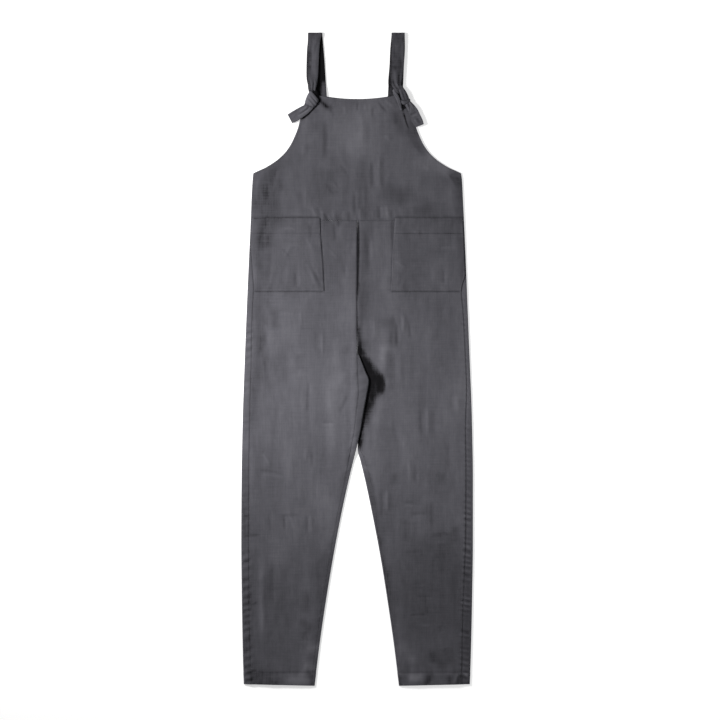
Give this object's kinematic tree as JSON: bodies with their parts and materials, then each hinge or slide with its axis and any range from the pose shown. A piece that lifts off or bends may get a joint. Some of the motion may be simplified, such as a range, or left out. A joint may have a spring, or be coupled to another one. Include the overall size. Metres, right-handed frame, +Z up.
{
  "type": "dungarees",
  "caption": "Bib dungarees of plain linen, laid flat on their back: patch pockets, tapered legs, and shoulder straps knotted at the corners of the bib.",
  "frame": {"origin": "on the surface that the garment lies on, under the middle of its bounding box", "axes": "+Y towards the shoulder straps, +Z up out of the front of the garment, +X to the wearer's left"},
  "size_m": [0.5096, 1.4366, 0.0165],
  "materials": {
    "linen": "plain-woven charcoal linen, washed, matt"
  },
  "bodies": {
    "root": {"bib_front": "linen", "bodice_back": "linen", "leg_front_right": "linen", "leg_front_left": "linen", "leg_back_right": "linen", "leg_back_left": "linen", "pocket_right": "linen", "pocket_left": "linen", "strap_right": "linen", "strap_left": "linen", "knot_right": "linen", "knot_left": "linen", "tie_end_right": "linen", "tie_end_left": "linen"}
  },
  "joints": []
}
